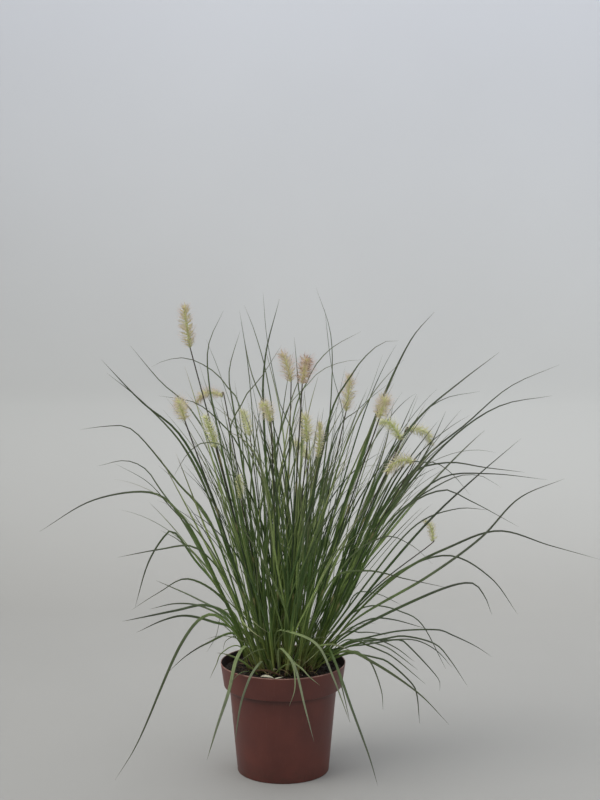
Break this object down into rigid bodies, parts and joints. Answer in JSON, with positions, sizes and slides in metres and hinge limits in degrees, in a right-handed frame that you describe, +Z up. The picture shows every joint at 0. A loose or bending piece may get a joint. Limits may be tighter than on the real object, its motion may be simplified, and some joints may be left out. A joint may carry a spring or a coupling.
{
  "type": "potted ornamental grass clump",
  "caption": "Clump of dwarf fountain grass with arching leaves and bottle-brush flower spikes, growing in a round tapered nursery pot with a deep collar.",
  "frame": {"origin": "middle of the flat underside of the pot, which stands on the ground", "axes": "+Z up along the pot's axis; -Y towards the front of the clump, where the shorter leaves fall over the rim; +X to the right seen from the front"},
  "size_m": [0.7481, 0.5342, 0.6521],
  "materials": {
    "pot_plastic": "moulded polypropylene, matt reddish brown, slightly worn at the rim",
    "potting_soil": null,
    "flower_stem": null,
    "flower_spike": null,
    "grass_leaf": null
  },
  "bodies": {
    "root": {"pot": "pot_plastic", "potting_soil": "potting_soil", "flower_stem_01": "flower_stem", "flower_stem_02": "flower_stem", "flower_stem_03": "flower_stem", "flower_stem_04": "flower_stem", "flower_stem_05": "flower_stem", "flower_stem_06": "flower_stem", "flower_stem_07": "flower_stem", "flower_stem_08": "flower_stem", "flower_stem_09": "flower_stem", "flower_stem_10": "flower_stem", "flower_stem_11": "flower_stem", "flower_stem_12": "flower_stem", "flower_stem_13": "flower_stem", "flower_stem_14": "flower_stem", "flower_stem_15": "flower_stem", "flower_stem_16": "flower_stem", "flower_stem_17": "flower_stem", "flower_stem_18": "flower_stem", "flower_spike_01": "flower_spike", "flower_spike_02": "flower_spike", "flower_spike_03": "flower_spike", "flower_spike_04": "flower_spike", "flower_spike_05": "flower_spike", "flower_spike_06": "flower_spike", "flower_spike_07": "flower_spike", "flower_spike_08": "flower_spike", "flower_spike_09": "flower_spike", "flower_spike_10": "flower_spike", "flower_spike_11": "flower_spike", "flower_spike_12": "flower_spike", "flower_spike_13": "flower_spike", "flower_spike_14": "flower_spike", "flower_spike_15": "flower_spike", "flower_spike_16": "flower_spike", "flower_spike_17": "flower_spike", "flower_spike_18": "flower_spike", "arching_leaf_01": "grass_leaf", "arching_leaf_02": "grass_leaf", "arching_leaf_03": "grass_leaf", "arching_leaf_04": "grass_leaf", "arching_leaf_05": "grass_leaf", "arching_leaf_06": "grass_leaf", "arching_leaf_07": "grass_leaf", "arching_leaf_08": "grass_leaf", "arching_leaf_09": "grass_leaf", "arching_leaf_10": "grass_leaf", "leaf_tuft_01": "grass_leaf", "leaf_tuft_02": "grass_leaf", "leaf_tuft_03": "grass_leaf", "leaf_tuft_04": "grass_leaf", "leaf_tuft_05": "grass_leaf", "leaf_tuft_06": "grass_leaf", "leaf_tuft_07": "grass_leaf", "leaf_tuft_08": "grass_leaf", "leaf_tuft_09": "grass_leaf", "leaf_tuft_10": "grass_leaf", "leaf_tuft_11": "grass_leaf", "leaf_tuft_12": "grass_leaf"}
  },
  "joints": []
}
